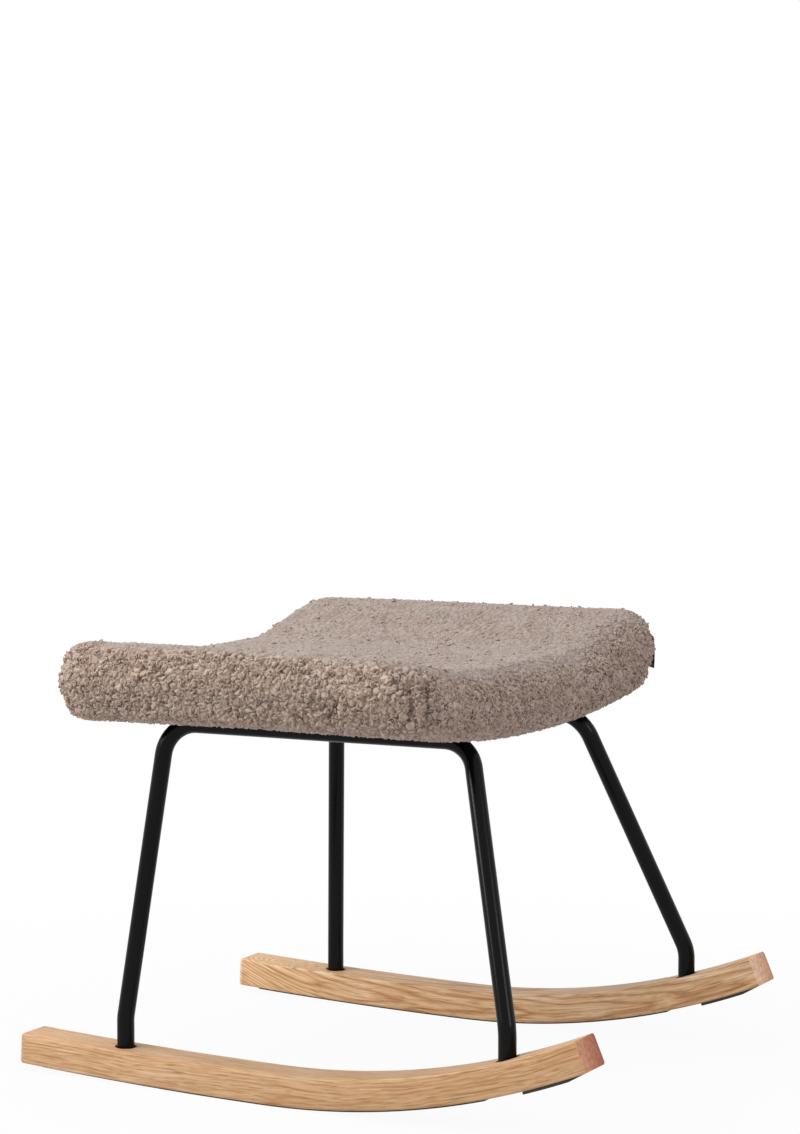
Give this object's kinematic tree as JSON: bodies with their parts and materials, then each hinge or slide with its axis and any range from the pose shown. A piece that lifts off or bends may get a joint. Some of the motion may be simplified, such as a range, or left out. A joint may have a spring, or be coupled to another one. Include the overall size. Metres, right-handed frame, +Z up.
{
  "type": "rocking footstool",
  "caption": "Low upholstered footstool: dished fleece seat on bent black steel tube frames that stand on curved wooden rockers.",
  "frame": {"origin": "on the floor, under the middle of the bounding box", "axes": "+X along the rockers towards their raised front ends, +Y to the left side of the stool, +Z up"},
  "size_m": [0.5812, 0.487, 0.4094],
  "materials": {
    "ash_wood": "satin",
    "strip_rubber": "matte",
    "black_steel": "satin",
    "zinc_steel": "satin",
    "plywood": "matte",
    "dust_cloth": "matte",
    "foam": "matte",
    "fleece": "matte",
    "patch_cloth": "matte"
  },
  "bodies": {
    "root": {"rocker_left": "ash_wood", "rocker_right": "ash_wood", "glide_strip_left": "strip_rubber", "glide_strip_right": "strip_rubber", "end_strip_left": "strip_rubber", "end_strip_right": "strip_rubber", "side_frame_left": "black_steel", "side_frame_right": "black_steel", "seat_strap_rear": "black_steel", "seat_strap_front": "black_steel", "leg_plugs": "zinc_steel", "rocker_bolts": "zinc_steel", "rocker_bolt_washers": "zinc_steel", "tee_nuts": "zinc_steel", "seat_bolts": "zinc_steel", "seat_bolt_washers": "zinc_steel", "staples": "zinc_steel", "seat_shell": "plywood", "dust_cover": "dust_cloth", "seat_foam": "foam", "seat_cover": "fleece", "seat_patch": "patch_cloth"}
  },
  "joints": []
}
